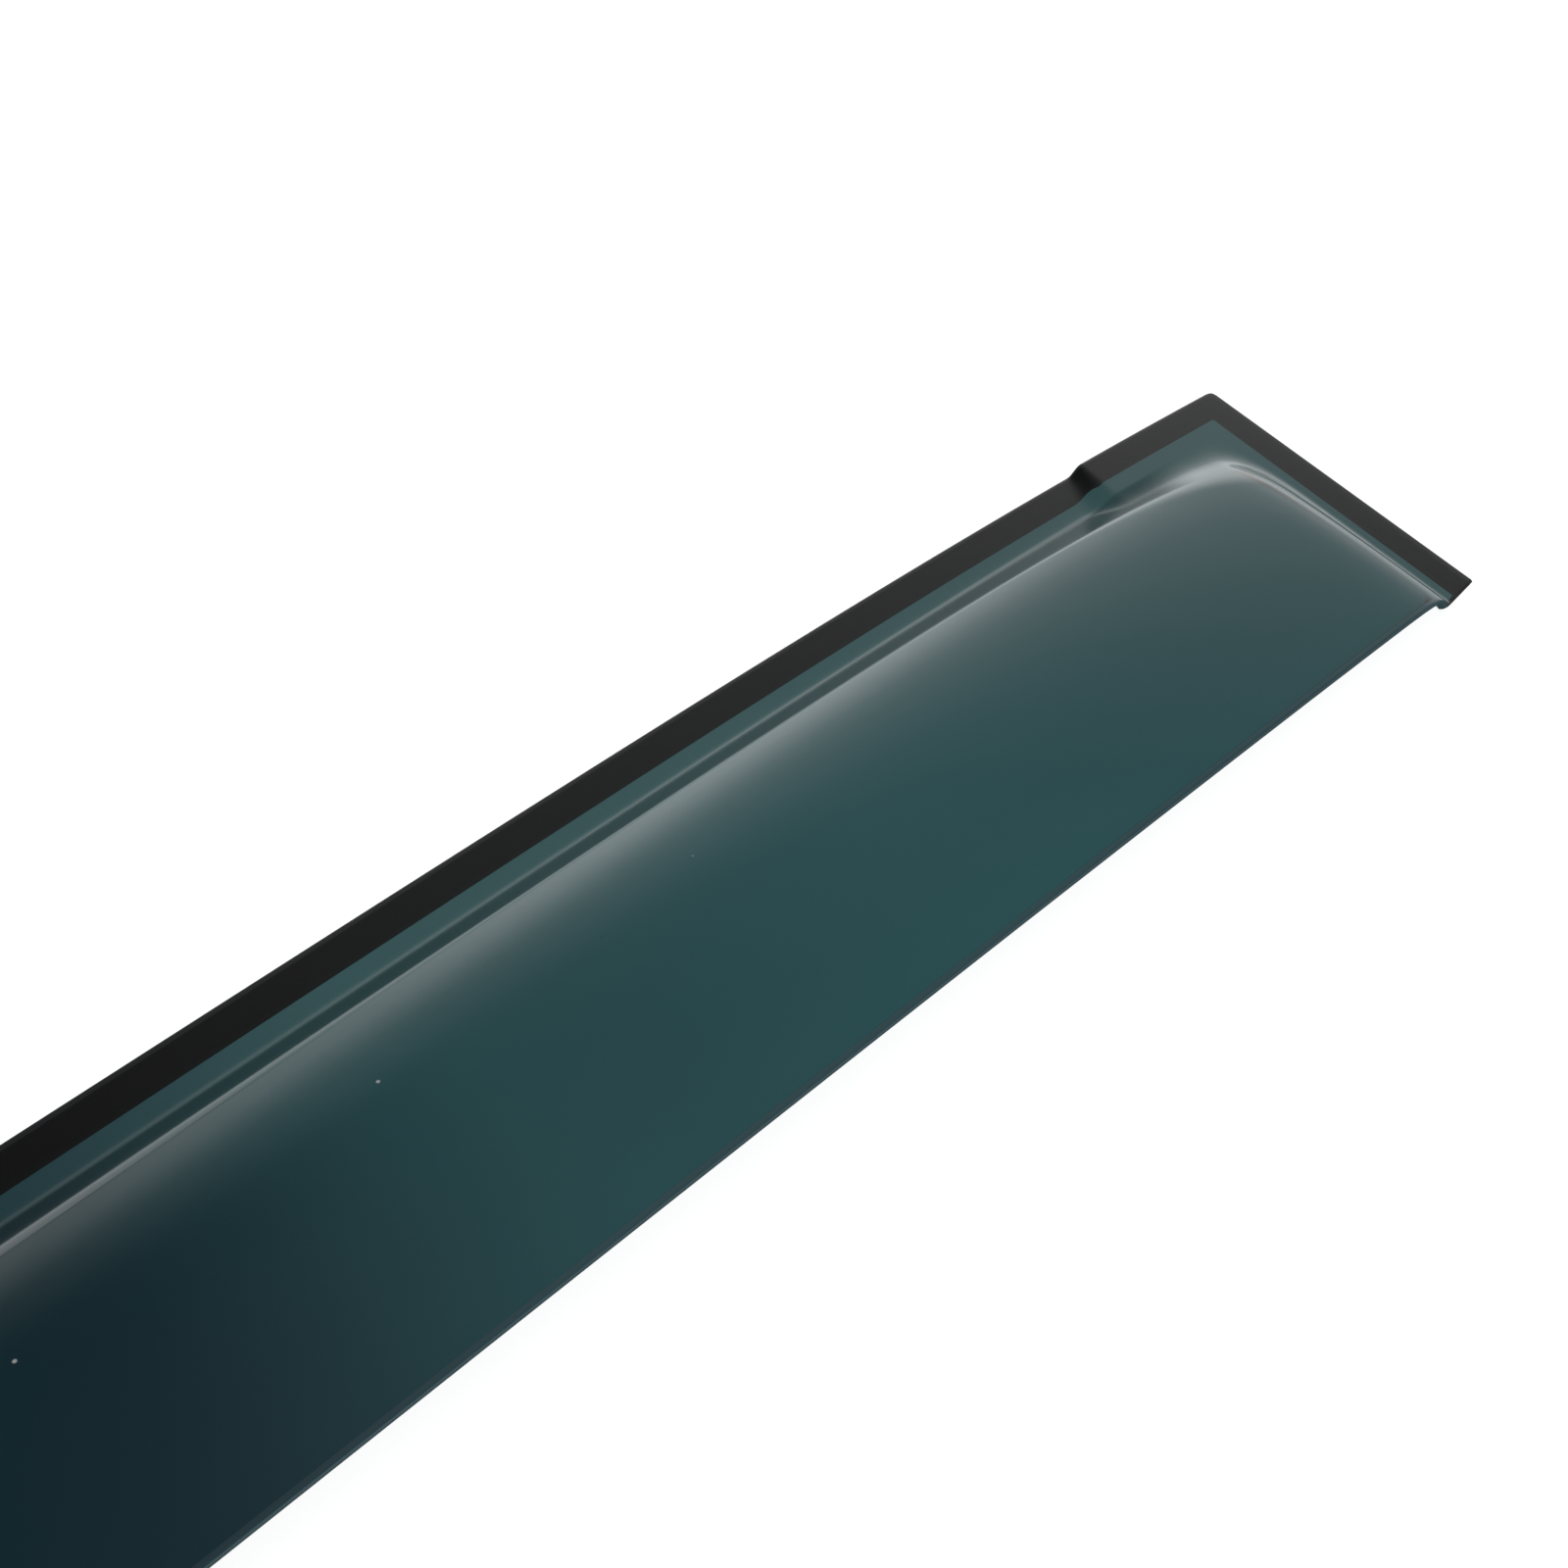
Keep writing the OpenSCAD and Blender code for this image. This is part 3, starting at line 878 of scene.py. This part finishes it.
def studio_world(studio):
    """White where the camera looks. What lights and mirrors is a broad low light behind the part: a
    brightness by the sine of the elevation, times one by the azimuth."""
    world = bpy.data.worlds.new("studio")
    world.use_nodes = True
    tree = world.node_tree
    tree.nodes.clear()
    way = add_node(tree, "ShaderNodeTexCoord").outputs["Generated"]
    height = add_node(tree, "ShaderNodeSeparateXYZ", {0: way}).outputs["Z"]
    level = ramp(
        tree,
        height,
        [
            (0.0, 0.6),
            (1.0, 0.14),
            (0.035, 0.95),
            (0.1, 1.0),
            (0.2, 1.0),
            (0.28, 0.86),
            (0.34, 0.71),
            (0.407, 0.515),
            (0.469, 0.385),
            (0.53, 0.3),
            (0.588, 0.215),
            (0.643, 0.145),
            (0.695, 0.13),
            (0.743, 0.118),
            (0.82, 0.13),
        ],
    )
    flat = add_node(
        tree, "ShaderNodeVectorMath", {0: way, 1: (1, 1, 0)}, operation="MULTIPLY"
    ).outputs[0]
    heading = add_node(tree, "ShaderNodeVectorMath", {0: flat}, operation="NORMALIZE").outputs[0]
    facing = add_node(
        tree, "ShaderNodeVectorMath", {0: heading, 1: BEHIND}, operation="DOT_PRODUCT"
    ).outputs["Value"]
    spread = ramp(
        tree,
        facing,
        [
            (0.0, 0.2),
            (1.0, 1.0),
            (0.5, 0.2),
            (0.75, 0.28),
            (0.85, 0.48),
            (0.92, 0.74),
            (0.975, 0.93),
        ],
    )
    strength = add_node(
        tree, "ShaderNodeMath", {0: spread, 1: studio.sky_power}, operation="MULTIPLY"
    ).outputs[0]
    lights = add_node(
        tree, "ShaderNodeBackground", {"Color": level, "Strength": strength}
    ).outputs[0]
    white = add_node(
        tree, "ShaderNodeBackground", {"Color": (1, 1, 1, 1), "Strength": 1.0}
    ).outputs[0]
    path = add_node(tree, "ShaderNodeLightPath")
    clear = add_node(
        tree,
        "ShaderNodeMath",
        {0: path.outputs["Is Camera Ray"], 1: path.outputs["Is Transmission Ray"]},
        operation="MAXIMUM",
    ).outputs[0]
    both = add_node(tree, "ShaderNodeMixShader", {0: clear, 1: lights, 2: white}).outputs[0]
    add_node(tree, "ShaderNodeOutputWorld", {"Surface": both})
    return world


# Operators.


class DEFLECTOR_OT_sheet(bpy.types.Operator):
    """Forms the tinted acrylic sheet with its flanges, step, riser and crown"""

    bl_idname = "deflector.sheet"
    bl_label = "Form the Sheet"

    def execute(self, context):
        points, faces, masks = visor_sheet(settings().form)
        material = acrylic_material(settings().acrylic)
        piece = new_piece(
            "acrylic_visor", points, faces.tolist(), material, "deflector_shell"
        )
        for name, mask in masks.items():
            piece.data.attributes.new(name, "FLOAT", "POINT").data.foreach_set("value", mask)
        return {"FINISHED"}


class DEFLECTOR_OT_tapes(bpy.types.Operator):
    """Lays the three strips of foam tape under the flanges"""

    bl_idname = "deflector.tapes"
    bl_label = "Lay the Tapes"

    def execute(self, context):
        form = settings().form
        material = foam_material(settings().foam)
        shares = np.linspace(0, 1, 30)
        end = form.visor_len
        strips = (
            ("foam_top", section_places(form), (0.0, form.tape_w), False, "top_tape"),
            ("foam_right_end", shares, (0.0, form.end_tape_w), True, "right_end_tape"),
            ("foam_left_end", shares, (end - form.end_tape_w, end), True, "left_end_tape"),
        )
        for name, along, across, turned, node in strips:
            points, faces = tape_skin(form, along, across, turned)
            new_piece(name, points, faces, material, node)
        return {"FINISHED"}


class DEFLECTOR_OT_studio(bpy.types.Operator):
    """Sets the white floor, the soft light and the camera"""

    bl_idname = "deflector.studio"
    bl_label = "Set the Studio"

    def execute(self, context):
        studio = settings().studio
        scene = context.scene
        half = studio.floor_size / 2
        signs = ((-1, -1), (1, -1), (1, 1), (-1, 1))
        corners = [(x * half, y * half, FLOOR_Z) for x, y in signs]
        mesh = bpy.data.meshes.new("studio_floor")
        mesh.from_pydata(corners, [], [(0, 1, 2, 3)])
        mesh.materials.append(floor_material(studio))
        floor = bpy.data.objects.new("studio_floor", mesh)
        scene.collection.objects.link(floor)

        scene.world = studio_world(studio)
        lamp = bpy.data.lights.new("overhead_softbox", "AREA")
        lamp.shape, lamp.size, lamp.energy = "DISK", studio.key_size, studio.key_power
        key = bpy.data.objects.new("overhead_softbox", lamp)
        key.location, key.rotation_euler = studio.key_place, studio.key_turn
        key.visible_glossy = False
        scene.collection.objects.link(key)

        camera = bpy.data.objects.new("camera", bpy.data.cameras.new("camera"))
        camera.data.lens, camera.data.sensor_width = studio.lens, 36.0
        camera.data.clip_start, camera.data.clip_end = 0.01, 20.0
        right, down, ahead = (
            (0.7319, -0.67575, 0.08766),
            (-0.4387, -0.56573, -0.69821),
            (0.52141, 0.47256, -0.7105),
        )
        axes = np.array([right, [-v for v in down], [-v for v in ahead]]).T
        camera.matrix_world = Matrix.LocRotScale(
            studio.eye, Matrix(axes.tolist()).to_quaternion(), None
        )
        scene.collection.objects.link(camera)
        scene.camera = camera
        scene.view_settings.view_transform = "Standard"
        return {"FINISHED"}


class RainDeflector(bpy.types.PropertyGroup):
    """All settings of the part and its stage."""

    form: PointerProperty(type=VisorForm, name="Form", description="Sizes of the sheet and tapes")
    acrylic: PointerProperty(type=AcrylicLook, name="Acrylic", description="Finish of the sheet")
    foam: PointerProperty(type=FoamLook, name="Foam", description="Finish of the tapes")
    studio: PointerProperty(type=StudioSetup, name="Studio", description="Camera, floor and light")


class VIEW3D_PT_rain_deflector(bpy.types.Panel):
    """Sizes, colours and steps of the rain deflector"""

    bl_label = "Rain Deflector"
    bl_space_type = "VIEW_3D"
    bl_region_type = "UI"
    bl_category = "Deflector"

    def draw(self, context):
        layout = self.layout
        for step in STEPS:
            layout.operator(step.bl_idname)
        for group in (settings().form, settings().acrylic, settings().foam, settings().studio):
            box = layout.box()
            box.label(text=group.__doc__)
            for name in group.__annotations__:
                box.prop(group, name)


STEPS = (DEFLECTOR_OT_sheet, DEFLECTOR_OT_tapes, DEFLECTOR_OT_studio)
CLASSES = (
    VisorForm,
    AcrylicLook,
    FoamLook,
    StudioSetup,
    RainDeflector,
    *STEPS,
    VIEW3D_PT_rain_deflector,
)


def register():
    for cls in CLASSES:
        bpy.utils.register_class(cls)
    bpy.types.Scene.rain_deflector = PointerProperty(
        type=RainDeflector, name="Rain deflector", description="Settings of the rain deflector"
    )


def unregister():
    del bpy.types.Scene.rain_deflector
    for cls in reversed(CLASSES):
        bpy.utils.unregister_class(cls)


def main():
    register()
    bpy.ops.deflector.sheet()
    bpy.ops.deflector.tapes()
    bpy.ops.deflector.studio()


if __name__ == "__main__":
    main()
